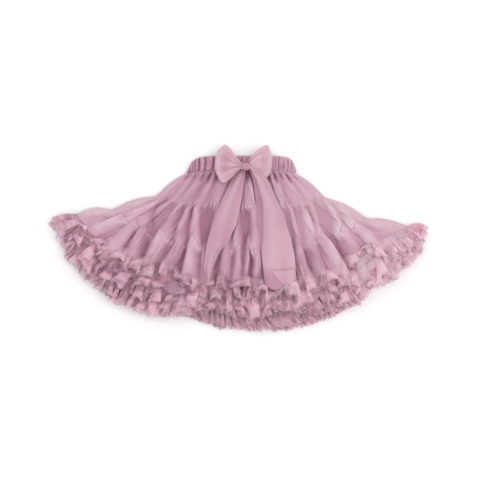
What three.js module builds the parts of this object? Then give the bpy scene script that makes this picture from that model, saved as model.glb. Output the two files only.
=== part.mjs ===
// A child's tiered tulle skirt with a bow, laid flat on its back with the front up.
// Millimetres. X runs across the skirt, +Y towards the waist, +Z up from the surface it lies on.
// The walls are shaped in layout coordinates, whose zero is near the middle of the second tier,
// and the finished group is moved so that its origin is the middle of the footprint.
import * as THREE from "three";

// Driving sizes
const TIER_WALL = 1.4;
const FRILL_WALL = 1.1;
const BACK_WALL = 2;
const BAND_WALL = 1.8;
const BAND_BACK_WALL = 4;
const BOW_WALL = 1.2;
const SEAM_GAP = 0.35;
const PLAIN_COLUMNS = 24;
const SEAM_TURN = 1.25;

// The front's mid surface where it meets the back at the side folds
const FRONT_REST = BACK_WALL + SEAM_GAP + TIER_WALL / 2;

// Seam lines seen from above. A line runs from its left end (t = -1) over its middle to its right
// end (t = 1). left and right are its half widths, leftRise and rightRise how much nearer to the
// waist its ends lie than its middle, and curl is high where the line is straight in the middle.
// lift is the height of the front cloth's mid surface over the back's, and swell its wave there.
const SEAMS = {
  bandTop: { middleX: 5, middleY: 150.5, left: 82, right: 82,
    leftRise: -3, rightRise: -3, curl: 3, lift: 0, swell: 0 },
  bandBottom: { middleX: 1, middleY: 128.5, left: 98, right: 98,
    leftRise: -7, rightRise: -7, curl: 2, lift: 4.6, swell: 0.5 },
  yokeSeam: { middleX: 1, middleY: 64, left: 152, right: 153,
    leftRise: 15, rightRise: 12, curl: 2, lift: 8, swell: 1.2 },
  middleSeam: { middleX: 1, middleY: -11, left: 233, right: 229,
    leftRise: 65, rightRise: 50, curl: 2, lift: 14, swell: 2.4 },
  frontStitch: { middleX: 1, middleY: -79, left: 296, right: 301,
    leftRise: 126, rightRise: 104, curl: 3.4, lift: 25, swell: 0 },
  frontHem: { middleX: -2, middleY: -133, left: 343, right: 339,
    leftRise: 166, rightRise: 138, curl: 4.6, lift: 0, swell: 0 },
  backStitch: { middleX: 0, middleY: -112, left: 292, right: 292,
    leftRise: 143, rightRise: 122, curl: 3.2, lift: 0, swell: 0 },
  backHem: { middleX: 12, middleY: -164, left: 348, right: 318,
    leftRise: 176, rightRise: 146, curl: 2.9, lift: 0, swell: 0 },
};

// Front tiers, each gathered into the one above. folds is how many stand side by side, columns the
// grid steps in each, deep their height between the seams, and the puffs how far the two side
// outlines bulge towards the waist.
const TIERS = {
  yoke_front: { top: "bandBottom", bottom: "yokeSeam", folds: 13, columns: 5, rows: 3,
    deep: 2.6, puffLeft: 5, puffRight: 5, salt: 1.3 },
  middle_tier_front: { top: "yokeSeam", bottom: "middleSeam", folds: 19, columns: 5, rows: 4,
    deep: 4.4, puffLeft: 6.5, puffRight: 6.5, salt: 2.9 },
  lower_tier_front: { top: "middleSeam", bottom: "frontStitch", folds: 24, columns: 4, rows: 4,
    deep: 4.6, puffLeft: 8, puffRight: 5, salt: 4.1 },
};

// The deepest valleys of the front: where each starts across its tier (t), how far it leans on the
// way down, its half width in t and its depth.
const VALLEYS = [
  { tier: "middle_tier_front", at: -0.44, lean: -0.05, halfWidth: 0.035, depth: 6 },
  { tier: "middle_tier_front", at: -0.17, lean: 0.02, halfWidth: 0.03, depth: 4 },
  { tier: "middle_tier_front", at: 0.04, lean: 0, halfWidth: 0.03, depth: 4.5 },
  { tier: "middle_tier_front", at: 0.37, lean: 0.04, halfWidth: 0.035, depth: 6 },
  { tier: "lower_tier_front", at: -0.5, lean: 0.02, halfWidth: 0.03, depth: 6 },
  { tier: "lower_tier_front", at: -0.27, lean: 0.01, halfWidth: 0.025, depth: 5 },
  { tier: "lower_tier_front", at: 0.3, lean: 0.03, halfWidth: 0.028, depth: 5 },
  { tier: "lower_tier_front", at: 0.49, lean: 0.04, halfWidth: 0.032, depth: 7 },
];

// Hem frills: strips gathered along a stitched line, with a short free edge that stands up towards
// the waist and a long one that reaches the hem. reachUp is the short side in plan, rest the
// height at the stitches over the cloth that carries them, and upperRise and hemRise how much
// higher the two free edges stand. from and to are the ends in t, where endPuff rounds the corner.
const FRILLS = {
  hem_frill_front: { stitch: "frontStitch", hem: "frontHem", folds: 46, columns: 4,
    rows: [-1, -0.45, 0, 0.45, 1], from: -0.98, to: 0.98, reachUp: 26, endPuff: 9, rest: 2.45,
    upperRise: 9, hemRise: 0.5, upperWave: 5.5, hemWave: 7, gather: 0.4, sway: 0.22, salt: 5.7 },
  hem_frill_back: { stitch: "backStitch", hem: "backHem", folds: 42, columns: 4,
    rows: [-1, 0, 0.5, 1], from: -0.88, to: 0.88, reachUp: 20, endPuff: 0, rest: 2.5,
    upperRise: 8, hemRise: 5, upperWave: 6, hemWave: 6.8, gather: 0.4, sway: 0.22, salt: 8.3 },
};

const BAND = { gathers: 24, columns: 5, rows: 2, wave: 1, rest: 7.2, calmer: 0.55 };

// How the front keeps its shape towards its side folds: the powers of t at which its height falls,
// its outline bulges and its folds die out, and how much the cloth arches between two seams
const SIDES = { fall: 7, bulge: 9, tierFolds: 8, bandFolds: 8,
  frillFolds: 12, frillCorner: 16, frillRest: 10 };
const TIER_ARCH = 0.12;

// How unlike one fold is to the next, as a share of its height or its place
const UNEVEN = { place: 0.02, tierFold: 0.45, frillReach: 0.06, frillFold: 0.12 };

// The share of a frill's height that it loses, and of its rest that it gains, at the side folds
const FRILL_SIDE = { upperLost: 0.88, upperCurl: 1.5, foldLost: 0.55, restGained: 0.5 };

// The bow. Its two loops are strips that leave the knot, turn round and come back, and the tails
// lie on the tiers. A tail's rows give where it crosses the garment: down counts tiers from the
// band (0) over the yoke seam (1) and middle seam (2) to the stitches (3).
const KNOT = { x: 10.5, y: 133, z: 19.6, width: 18, height: 18, depth: 14 };
const LOOP = { reach: 53, tipBack: 14, knotHalf: 6, tipHalf: 34, swell: 8.2, under: 5, pinch: 1.7,
  raised: 0.6, blunt: 0.85, flatter: 0.35, steps: 16, across: 6 };
const LOOPS = {
  bow_loop_left: { side: -1, tilt: -2 },
  bow_loop_right: { side: 1, tilt: 3 },
};
const TAILS = {
  bow_tail_left: [
    { down: -0.1, middle: 2, half: 6 },
    { down: 0.5, middle: -8.5, half: 16 },
    { down: 1, middle: -17, half: 18 },
    { down: 1.5, middle: -28, half: 20 },
    { down: 2, middle: -43, half: 15 },
    { down: 2.3, middle: -50, half: 10 },
    { down: 2.6, middle: -55, half: 6, climb: 9 },
    { down: 2.95, middle: -58, half: 2, climb: 10 },
  ],
  bow_tail_right: [
    { down: -0.1, middle: 19, half: 6 },
    { down: 0.5, middle: 38, half: 15 },
    { down: 1, middle: 46.5, half: 19.5 },
    { down: 1.5, middle: 57, half: 25 },
    { down: 2, middle: 65.5, half: 28.5 },
    { down: 2.3, middle: 69, half: 28.5 },
    { down: 2.6, middle: 72, half: 28, climb: 9 },
    { down: 2.95, middle: 76, half: 20, climb: 10 },
  ],
};
const TAIL = { across: 6, rows: 16, bow: 1, overBand: 3.6, overYoke: 2, overTiers: 4.4, risenBy: 1.4 };

// Where the tails press the hem frill down
const PRESSED = [
  { x: -58, halfWidth: 16 },
  { x: 76, halfWidth: 36 },
];
const PRESSED_SHARE = 0.5;

// Cloths
const CLOTH = new THREE.MeshStandardMaterial({ color: 0xcf9fb4, roughness: 0.85, name: "pink tulle" });
const RIBBON = new THREE.MeshStandardMaterial({ color: 0xd6abbd, roughness: 0.8, name: "pink bow cloth" });

const mix = (a, b, share) => a + (b - a) * share;
const ease = (share) => share * share * (3 - 2 * share);

// Smooth unevenness from -1 to 1 along a strip, so that no two folds are alike
function uneven(u, salt) {
  const slow = Math.sin(7.1 * u + salt);
  const middling = 0.7 * Math.sin(19.3 * u + 2.1 * salt);
  const quick = 0.5 * Math.sin(43.7 * u + 3.7 * salt);
  return (slow + middling + quick) / 2.2;
}

// A fold's profile: a broad round ridge at 1 and a narrow valley at -1
function foldWave(turns) {
  const valleyRound = 0.25;
  const height = Math.hypot(Math.cos(Math.PI * turns), valleyRound) - valleyRound;
  return (2 * height) / (Math.hypot(1, valleyRound) - valleyRound) - 1;
}

// Where a place u along a gathered strip (0 to 1) comes to lie across the garment (-1 to 1)
function spread(u, salt) {
  const even = 2 * u - 1;
  return even + UNEVEN.place * uneven(u, salt + 0.9) * (1 - even * even);
}

function seamPoint(seam, t) {
  const s = Math.sin(SEAM_TURN * t) / Math.sin(SEAM_TURN);
  const half = t < 0 ? seam.left : seam.right;
  const rise = t < 0 ? seam.leftRise : seam.rightRise;
  return new THREE.Vector3(seam.middleX + half * s, seam.middleY + rise * Math.abs(s) ** seam.curl, 0);
}

// How much of its height the front cloth keeps towards the side folds
function sideFall(t) {
  return Math.sqrt(Math.max(0, 1 - Math.abs(t) ** SIDES.fall));
}

// The front's mid surface at t across and v down a tier, with neither folds nor valleys
function tierGround(tier, t, v) {
  const top = SEAMS[tier.top];
  const bottom = SEAMS[tier.bottom];
  const point = seamPoint(top, t).lerp(seamPoint(bottom, t), v);
  const puff = t < 0 ? tier.puffLeft : tier.puffRight;
  point.y += puff * Math.abs(t) ** SIDES.bulge * Math.sin(Math.PI * v);
  const arch = TIER_ARCH * Math.sin(Math.PI * v);
  point.z = FRONT_REST + mix(top.lift, bottom.lift, v) * (1 + arch) * sideFall(t);
  return point;
}

// How far the valleys press a tier down: each starts shallow at the top seam and runs out below
function valleyDepth(name, t, v) {
  const along = Math.sin(Math.PI * mix(0.12, 0.95, v)) ** 0.7;
  let depth = 0;
  for (const valley of VALLEYS)
    if (valley.tier === name) {
      const off = (t - valley.at - valley.lean * v) / valley.halfWidth;
      depth += valley.depth * Math.exp(-off * off) * along;
    }
  return depth;
}

function tierPoint(name, tier, u, v) {
  const t = spread(u, tier.salt);
  const point = tierGround(tier, t, v);
  const inside = 1 - Math.abs(t) ** SIDES.tierFolds;
  const betweenSeams = Math.sin(Math.PI * mix(0.1, 0.9, v));
  const height = tier.deep * betweenSeams * (1 + UNEVEN.tierFold * uneven(u, tier.salt));
  const seamSwell = mix(SEAMS[tier.top].swell, SEAMS[tier.bottom].swell, v) * uneven(0.5 + 0.5 * t, 6.2);
  const heldAtHem = ease(Math.min(1, 1.05 - v));
  point.z += inside * (height * foldWave(tier.folds * u) * heldAtHem + seamSwell);
  point.z -= inside * valleyDepth(name, t, v);
  return point;
}

// The height of the front's mid surface along its lowest seam
function frontHeight(t) {
  return FRONT_REST + SEAMS.frontStitch.lift * sideFall(t);
}

// The height of the lowest front tier's mid surface at a point seen from above, searched from t
function heightBelow(point, near) {
  const tier = TIERS.lower_tier_front;
  const step = 0.01;
  const tries = 8;
  const widest = 0.985;
  let t = Math.sign(near) * Math.min(0.97, Math.abs(near));
  let v = 0.9;
  for (let k = 0; k < tries; k++) {
    const here = tierGround(tier, t, v);
    const alongT = tierGround(tier, t + step, v).sub(here).divideScalar(step);
    const alongV = tierGround(tier, t, v + step).sub(here).divideScalar(step);
    const dx = point.x - here.x;
    const dy = point.y - here.y;
    const area = alongT.x * alongV.y - alongT.y * alongV.x;
    t = Math.min(widest, Math.max(-widest, t + (dx * alongV.y - dy * alongV.x) / area));
    v = Math.min(1.1, Math.max(0.2, v + (dy * alongT.x - dx * alongT.y) / area));
  }
  return tierGround(tier, t, Math.min(1, v)).z;
}

// The share of its height that the front's hem frill loses at x under the tails
function pressedAt(x) {
  let share = 0;
  for (const tail of PRESSED) share += PRESSED_SHARE * Math.exp(-(((x - tail.x) / tail.halfWidth) ** 4));
  return share;
}

// A point of a frill: u along its stitches, w from the edge that stands up (-1) to the hem (1)
function frillPoint(frill, u, w) {
  const t = mix(frill.from, frill.to, (spread(u, frill.salt) + 1) / 2);
  const stitch = seamPoint(SEAMS[frill.stitch], t);
  const hem = seamPoint(SEAMS[frill.hem], t);
  const outward = hem.clone().sub(stitch).normalize();
  const along = new THREE.Vector3(-outward.y, outward.x, 0);
  const front = frill.stitch === "frontStitch";
  const up = w < 0;
  const far = Math.abs(w);
  const uneasy = uneven(u, frill.salt + (up ? 2 : 0));
  const upper = frill.reachUp * (1 - FRILL_SIDE.upperLost * Math.abs(t) ** FRILL_SIDE.upperCurl);
  const reach = (up ? upper : hem.distanceTo(stitch)) * (1 + UNEVEN.frillReach * uneasy);
  const point = stitch.clone().addScaledVector(outward, Math.sign(w) * reach * far);
  const corner = Math.abs(t) ** SIDES.frillCorner * Math.sin(0.75 * Math.PI * Math.max(0, w));
  point.y += frill.endPuff * corner;
  const turns = frill.folds * u;
  const kept = up && front ? 1 - pressedAt(point.x) : 1;
  const wave = up ? frill.upperWave : frill.hemWave;
  const swing = mix(frill.gather, wave, far) * (1 + UNEVEN.frillFold * uneasy);
  const side = 1 - FRILL_SIDE.foldLost * Math.abs(t) ** SIDES.frillFolds;
  point.addScaledVector(along, frill.sway * swing * Math.sin(4 * Math.PI * turns) * side);
  let carrier = BACK_WALL / 2;
  if (front) carrier = up ? heightBelow(point, t) : frontHeight(t);
  const steep = front ? 1 + FRILL_SIDE.restGained * Math.abs(t) ** SIDES.frillRest : 1;
  const rise = up ? frill.upperRise : frill.hemRise;
  point.z = carrier + frill.rest * steep + rise * far * kept;
  point.z += swing * side * kept * Math.cos(2 * Math.PI * turns);
  return point;
}

// A closed wall of one thickness round a grid of mid-surface points, rows[j][i]. The two long
// edges of a seamed wall stand upright over their seam lines, so that neighbours keep their gap.
function clothWall(rows, thickness, seamed = true) {
  const nv = rows.length - 1;
  const nu = rows[0].length - 1;
  const count = (nu + 1) * (nv + 1);
  const positions = new Float32Array(count * 6);
  const across = new THREE.Vector3();
  const down = new THREE.Vector3();
  for (let j = 0; j <= nv; j++)
    for (let i = 0; i <= nu; i++) {
      across.subVectors(rows[j][Math.min(nu, i + 1)], rows[j][Math.max(0, i - 1)]);
      down.subVectors(rows[Math.min(nv, j + 1)][i], rows[Math.max(0, j - 1)][i]);
      const normal = down.cross(across).normalize();
      if (seamed && (j === 0 || j === nv)) {
        across.normalize();
        normal.set(0, 0, 1).addScaledVector(across, -across.z).normalize();
      }
      const k = j * (nu + 1) + i;
      rows[j][i].clone().addScaledVector(normal, thickness / 2).toArray(positions, 3 * k);
      rows[j][i].clone().addScaledVector(normal, -thickness / 2).toArray(positions, 3 * (count + k));
    }
  const index = [];
  const quad = (a, b, c, d) => index.push(a, b, c, a, c, d);
  const upper = (i, j) => j * (nu + 1) + i;
  const lower = (i, j) => count + upper(i, j);
  for (let j = 0; j < nv; j++)
    for (let i = 0; i < nu; i++) {
      quad(upper(i, j), upper(i, j + 1), upper(i + 1, j + 1), upper(i + 1, j));
      quad(lower(i, j), lower(i + 1, j), lower(i + 1, j + 1), lower(i, j + 1));
    }
  for (let i = 0; i < nu; i++) {
    quad(upper(i, 0), upper(i + 1, 0), lower(i + 1, 0), lower(i, 0));
    quad(upper(i + 1, nv), upper(i, nv), lower(i, nv), lower(i + 1, nv));
  }
  for (let j = 0; j < nv; j++) {
    quad(upper(0, j + 1), upper(0, j), lower(0, j), lower(0, j + 1));
    quad(upper(nu, j), upper(nu, j + 1), lower(nu, j + 1), lower(nu, j));
  }
  const geometry = new THREE.BufferGeometry();
  geometry.setAttribute("position", new THREE.BufferAttribute(positions, 3));
  geometry.setIndex(index);
  geometry.computeVertexNormals();
  return geometry;
}

// Mid-surface points on a grid of columns by the given shares down, from a function of (u, share)
function grid(columns, shares, pointAt) {
  return shares.map((share) => Array.from({ length: columns + 1 }, (_, i) => pointAt(i / columns, share)));
}

const evenShares = (steps, first = 0, last = 1) =>
  Array.from({ length: steps + 1 }, (_, j) => mix(first, last, j / steps));

const skirt = new THREE.Group();

function addPart(name, geometry, material) {
  const mesh = new THREE.Mesh(geometry, material);
  mesh.name = name;
  skirt.add(mesh);
  return mesh;
}

function addFrontTiers() {
  for (const [name, tier] of Object.entries(TIERS)) {
    const length = SEAMS[tier.top].middleY - SEAMS[tier.bottom].middleY;
    const first = SEAM_GAP / length;
    const shares = evenShares(tier.rows, first, 1 - first);
    const rows = grid(tier.folds * tier.columns, shares, (u, v) => tierPoint(name, tier, u, v));
    addPart(name, clothWall(rows, TIER_WALL), CLOTH);
  }
}

// The back's panels lie flat under the front, with the same side folds
function addBackTiers() {
  const panels = {
    yoke_back: { top: "bandBottom", bottom: "yokeSeam", puff: 3 },
    middle_tier_back: { top: "yokeSeam", bottom: "middleSeam", puff: 6 },
    lower_tier_back: { top: "middleSeam", bottom: "backStitch", puff: 6 },
  };
  for (const [name, panel] of Object.entries(panels)) {
    const length = SEAMS[panel.top].middleY - SEAMS[panel.bottom].middleY;
    const first = SEAM_GAP / length;
    const rows = grid(PLAIN_COLUMNS, evenShares(3, first, 1 - first), (u, v) => {
      const t = 2 * u - 1;
      const point = seamPoint(SEAMS[panel.top], t).lerp(seamPoint(SEAMS[panel.bottom], t), v);
      point.y += panel.puff * Math.abs(t) ** 9 * Math.sin(Math.PI * v);
      point.z = BACK_WALL / 2;
      return point;
    });
    addPart(name, clothWall(rows, BACK_WALL), CLOTH);
  }
}

function addFrills() {
  for (const [name, frill] of Object.entries(FRILLS)) {
    const rows = grid(frill.folds * frill.columns, frill.rows, (u, w) => frillPoint(frill, u, w));
    addPart(name, clothWall(rows, FRILL_WALL, false), CLOTH);
  }
}

function addWaistband() {
  const bandPoint = (t, v) => seamPoint(SEAMS.bandTop, t).lerp(seamPoint(SEAMS.bandBottom, t), v);
  const last = 1 - SEAM_GAP / (SEAMS.bandTop.middleY - SEAMS.bandBottom.middleY);
  const front = grid(BAND.gathers * BAND.columns, evenShares(BAND.rows, 0, last), (u, v) => {
    const t = 2 * u - 1;
    const point = bandPoint(t, v);
    const drop = (1 - sideFall(t)) * (BAND.rest - BAND_BACK_WALL - SEAM_GAP - BAND_WALL / 2);
    const inside = (1 - BAND.calmer * t * t) * (1 - Math.abs(t) ** SIDES.bandFolds);
    point.z = BAND.rest - drop + BAND.wave * Math.cos(2 * Math.PI * BAND.gathers * u) * inside;
    return point;
  });
  addPart("waistband_front", clothWall(front, BAND_WALL), CLOTH);
  const back = grid(PLAIN_COLUMNS, evenShares(1, 0, last), (u, v) => {
    const point = bandPoint(2 * u - 1, v);
    point.z = BAND_BACK_WALL / 2;
    return point;
  });
  addPart("waistband_back", clothWall(back, BAND_BACK_WALL), CLOTH);
}

// A loop's strip: u runs from the knot out along its under side and back along its top, v across
function loopPoint(side, tilt, u, v) {
  const turn = Math.PI * u;
  const out = Math.sin(turn) ** LOOP.blunt;
  const reach = LOOP.reach - LOOP.tipBack * v * v;
  const low = (2 * LOOP.knotHalf * v) / KNOT.height;
  const start = (KNOT.width / 2) * Math.sqrt(1 - low * low) + SEAM_GAP;
  const away = mix(start, reach, out);
  const half = mix(LOOP.knotHalf, LOOP.tipHalf, ease(Math.min(1, out / LOOP.blunt)));
  const layer = u < 0.5 ? LOOP.under : LOOP.swell;
  const swell = LOOP.pinch + layer * Math.sin(turn) * (1 - LOOP.flatter * v * v);
  const x = KNOT.x + side * away;
  const y = KNOT.y + tilt * out + half * v;
  return new THREE.Vector3(x, y, KNOT.z + LOOP.raised - swell * Math.cos(turn));
}

function addBow() {
  const knot = new THREE.SphereGeometry(0.5, 16, 10);
  knot.scale(KNOT.width, KNOT.height, KNOT.depth);
  const tied = addPart("bow_knot", knot, RIBBON);
  tied.position.set(KNOT.x, KNOT.y, KNOT.z);
  for (const [name, loop] of Object.entries(LOOPS)) {
    const rows = grid(LOOP.across, evenShares(LOOP.steps), (u, share) =>
      loopPoint(loop.side, loop.tilt, share, loop.side * (2 * u - 1)));
    addPart(name, clothWall(rows, BOW_WALL, false), RIBBON);
  }
}

// The row of a tail at a place down the garment, between the two rows that bracket it
function tailRow(rows, down) {
  const next = Math.max(1, rows.findIndex((row) => row.down >= down - 1e-9));
  const a = rows[next - 1];
  const b = rows[next];
  const share = (down - a.down) / (b.down - a.down);
  const climb = mix(a.climb ?? 0, b.climb ?? 0, ease(share));
  return { middle: mix(a.middle, b.middle, share), half: mix(a.half, b.half, share), climb };
}

// A point on the front at x across and a number of tiers down, found by stepping t towards it
function overFront(x, down) {
  const tiers = Object.values(TIERS);
  const which = Math.min(tiers.length - 1, Math.max(0, Math.floor(down)));
  const tier = tiers[which];
  const v = down - which;
  const tries = 12;
  const reachOfT = mix(170, 450, down / tiers.length);
  let t = 0;
  for (let k = 0; k < tries; k++) t += (x - tierGround(tier, t, v).x) / reachOfT;
  return tierGround(tier, t, v);
}

function addTails() {
  for (const [name, table] of Object.entries(TAILS)) {
    const first = table[0].down;
    const last = table[table.length - 1].down;
    const rows = grid(TAIL.across, evenShares(TAIL.rows, first, last), (u, down) => {
      const row = tailRow(table, down);
      const side = 2 * u - 1;
      const point = overFront(row.middle + row.half * side, down);
      const risen = ease(Math.min(1, down / TAIL.risenBy));
      const swell = down < 0 ? TAIL.overBand : mix(TAIL.overYoke, TAIL.overTiers, risen);
      point.z += TIER_WALL / 2 + swell + row.climb + TAIL.bow * (1 - side * side);
      return point;
    });
    addPart(name, clothWall(rows, BOW_WALL), RIBBON);
  }
}

addWaistband();
addFrontTiers();
addBackTiers();
addFrills();
addBow();
addTails();

// The origin is the middle of the footprint, on the surface that the skirt lies on
const footprint = new THREE.Box3().setFromObject(skirt, true);
const middle = footprint.getCenter(new THREE.Vector3());
skirt.position.set(-middle.x, -middle.y, -footprint.min.z);

export default skirt;
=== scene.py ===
"""A child's tiered tulle skirt, laid flat on its back, with a frilled hem and a sash bow."""

import math
from functools import partial

import bpy
import numpy as np
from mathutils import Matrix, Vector


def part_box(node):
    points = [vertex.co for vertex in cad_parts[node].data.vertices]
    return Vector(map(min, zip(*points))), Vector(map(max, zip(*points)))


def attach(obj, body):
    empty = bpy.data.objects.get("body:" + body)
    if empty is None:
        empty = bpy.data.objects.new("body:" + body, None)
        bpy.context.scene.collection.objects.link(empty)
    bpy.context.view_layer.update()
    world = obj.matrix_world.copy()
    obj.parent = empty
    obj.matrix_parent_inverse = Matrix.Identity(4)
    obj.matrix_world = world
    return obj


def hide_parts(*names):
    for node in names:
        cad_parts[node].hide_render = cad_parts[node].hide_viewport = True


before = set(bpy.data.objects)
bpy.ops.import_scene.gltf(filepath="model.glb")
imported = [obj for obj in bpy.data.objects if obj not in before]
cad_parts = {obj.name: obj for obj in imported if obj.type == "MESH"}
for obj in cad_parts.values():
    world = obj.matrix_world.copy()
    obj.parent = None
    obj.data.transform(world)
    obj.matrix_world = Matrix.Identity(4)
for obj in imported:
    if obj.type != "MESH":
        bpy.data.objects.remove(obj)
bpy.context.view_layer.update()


def rows_of(columns):
    """The rows of a table that is written as named columns."""
    return [dict(zip(columns, row)) for row in zip(*columns.values())]


def by_name(columns):
    """The same, with each row under its name."""
    return {row["name"]: row for row in rows_of(columns)}


# Sizes in millimetres. X runs across the skirt, Y towards the waist and Z up from the surface. Along a
# tier or strip, t runs from -1 at the left to 1 at the right, u from 0 to 1 the same way, and v or w from
# 0 at its top seam to 1 at its bottom or free edge.
BACK_WALL = 2.0
SEAM_GAP = 0.35
FRONT_REST = 3.05  # the lowest height of the front cloth
SEAM_TURN = 1.25  # how far the seams turn round the sides: the angle, in radians, that stands for t = 1

# Seam lines seen from above, from the left end (t = -1) over the middle to the right end (t = 1)
SEAMS = by_name({
    "name": ["band_top", "band_bottom", "yoke_seam", "middle_seam", "front_stitch", "front_hem",
             "back_stitch", "back_hem"],
    # the middle of the line, and how far it reaches to both sides
    "x": [5, 1, 1, 1, 1, -2, 0, 12],
    "y": [152.3, 128.5, 64, -11, -79, -133, -112, -164],
    "left": [82, 95.5, 152, 233, 296, 343, 292, 348],
    "right": [82, 98, 153, 229, 301, 339, 292, 318],
    # how far its ends lie above its middle, and the power by which it curls up to them
    "left_rise": [-3, -7, 15, 65, 126, 166, 143, 190],
    "right_rise": [-3, -7, 12, 50, 104, 138, 122, 182],
    "left_curl": [3, 2, 2, 2, 3.4, 4.6, 3.2, 1.7],
    "right_curl": [3, 2, 2, 2, 3.4, 4.6, 3.2, 2.7],
    # how far the front cloth stands off the back there
    "lift": [0, 4.6, 8, 14, 25, 0, 0, 0],
})

# How far each inner seam wanders towards the waist and back, and how far it follows the folds below it
SEAM_WANDER = {
    "band_bottom": {"reach": 0.8, "spacing": 0.05, "follow": 0, "seed": 3},
    "yoke_seam": {"reach": 2.0, "spacing": 0.06, "follow": 0, "seed": 5},
    "middle_seam": {"reach": 4.0, "spacing": 0.07, "follow": 15, "seed": 7},
    "front_stitch": {"reach": 7.0, "spacing": 0.05, "follow": 0, "seed": 9},
}

# The thickness of each cloth
WALLS = {"band": 0.9, "tier": 0.5, "frill": 0.25, "loop": 0.6, "tail": 0.5, "fold": 0.4}

KNOT = {"x": 10.5, "y": 133, "z": 19.6, "width": 18, "height": 18, "depth": 14}


def place_of_layout():
    """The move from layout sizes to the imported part, read off the knot's solid."""
    low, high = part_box("bow_knot")
    middle = (np.array(low) + np.array(high)) / 2
    return middle - np.array([KNOT["x"], KNOT["y"], KNOT["z"]]) / 1000


LAYOUT = place_of_layout()
LOWEST = "lower_tier_front"
MEAN_CROWN = 0.62  # about the mean of fold_crown along the lowest tier's top seam


# Smooth randomness from fixed seeds. What u, v or turns is multiplied by in a call counts the patches
# along it, and each call adds a number of its own to a piece's seed, so that no two patterns are alike.
def random_at(cell, seed):
    """A number from -1 to 1 that belongs to a whole number and a seed."""
    mixed = (cell * 374761393 + seed * 668265263 + 974711) & 0xFFFFFFFF
    mixed = ((mixed ^ (mixed >> 13)) * 1274126177) & 0xFFFFFFFF
    return ((mixed ^ (mixed >> 16)) & 0xFFFF) / 32767.5 - 1


def ease(share):
    """The share from 0 to 1, with a soft start and end."""
    share = np.clip(share, 0, 1)
    return share * share * (3 - 2 * share)


def mix(a, b, share):
    """What lies between a and b, at the share of the way."""
    return a + (b - a) * share


def hump(off):
    """1 where off is 0, falling to nearly 0 where it is 2 or -2."""
    return np.exp(-(off ** 2))


def noise_line(x, seed):
    """Smooth heights from -1 to 1 along a line, a free one at each whole number."""
    cell = np.floor(x).astype(np.int64)
    share = ease(x - cell)
    return mix(random_at(cell, seed), random_at(cell + 1, seed), share)


def noise_sheet(x, y, seed):
    """The same over a plane."""
    row = np.floor(y).astype(np.int64)
    share = ease(y - row)
    cell = np.floor(x).astype(np.int64)
    along = ease(x - cell)
    corners = [[random_at(cell + i + (row + j) * 7919, seed) for i in (0, 1)] for j in (0, 1)]
    low = mix(corners[0][0], corners[0][1], along)
    high = mix(corners[1][0], corners[1][1], along)
    return mix(low, high, share)


def flute(turns, sharp=0.3):
    """A fold's profile: a broad round ridge at 1 and a narrower valley at -1."""
    height = np.hypot(np.cos(math.pi * turns), sharp) - sharp
    return 2 * height / (math.hypot(1, sharp) - sharp) - 1


def seam_point(name, t, wanders=True):
    """Where a seam line lies, seen from above."""
    seam = SEAMS[name]
    s = np.sin(SEAM_TURN * t) / math.sin(SEAM_TURN)
    half = np.where(t < 0, seam["left"], seam["right"])
    rise = np.where(t < 0, seam["left_rise"], seam["right_rise"])
    curl = np.where(t < 0, seam["left_curl"], seam["right_curl"])
    x = seam["x"] + half * s
    y = seam["y"] + rise * np.abs(s) ** curl
    if wanders and name in SEAM_WANDER:
        wander = SEAM_WANDER[name]
        inside = 1 - np.abs(t) ** 6
        y = y + wander["reach"] * inside * noise_line(t / wander["spacing"] + 50, wander["seed"])
        if wander["follow"]:
            y = y + wander["follow"] * inside * (fold_crown(LOWEST, t, 0.0) - MEAN_CROWN)
    return x, y


def seam_place(name, x):
    """The share t along a seam that lies x across the skirt."""
    seam = SEAMS[name]
    half = seam["left"] if x < seam["x"] else seam["right"]
    return math.asin(max(-1, min(1, (x - seam["x"]) / half * math.sin(SEAM_TURN)))) / SEAM_TURN


def side_fall(t):
    """How much of its height the front cloth keeps towards the side folds."""
    return np.sqrt(np.clip(1 - np.abs(t) ** 7, 0, None))


def folds_kept(t):
    """How much of the folds is left towards the side folds, where the cloth is pressed flat."""
    return 1 - np.abs(t) ** 10


# The front tiers, each sewn to the one above it
TIERS = by_name({
    "name": ["yoke_front", "middle_tier_front", "lower_tier_front"],
    "top": ["band_bottom", "yoke_seam", "middle_seam"],
    "bottom": ["yoke_seam", "middle_seam", "front_stitch"],
    "above": [None, "yoke_front", "middle_tier_front"],
    # how far the outline bulges between two seams, at the left and at the right
    "puff": [(5, 5), (6.5, 6.5), (8, 5)],
    # the way over which the folds rise from under the top seam, and how far all of the cloth sinks
    "held": [14, 18, 19],
    "sunk": [0.6, 2.2, 2.6],
    # how far the cloth puffs out just below its top seam, and bulges up over it
    "swell": [0, 1.0, 2.0],
    "over": [0, 1, 5.5],
    # how uneven the cloth is between its folds
    "soft": [0.35, 0.5, 0.6],
    # the tight gathers below the top seam: their count, their height and how far down they run
    "gathers": [46, 70, 96],
    "tight": [1.2, 2.4, 0.9],
    "run": [11, 14, 9],
    # how much the folds wander, and how high the fine pleats on them are
    "bent": [0.02, 0.012, 0.02],
    "streak": [0.5, 1.0, 1.1],
    # how much paler the tier is, everywhere, and its painted light towards the right, where the light falls
    "paler": [0, 0.1, 0.02],
    "right": [0.13, 0.14, 0.03],
    "seed": [11, 23, 37],
    # the grid of its mesh
    "columns": [400, 600, 720],
    "rows": [36, 44, 44],
})

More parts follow.
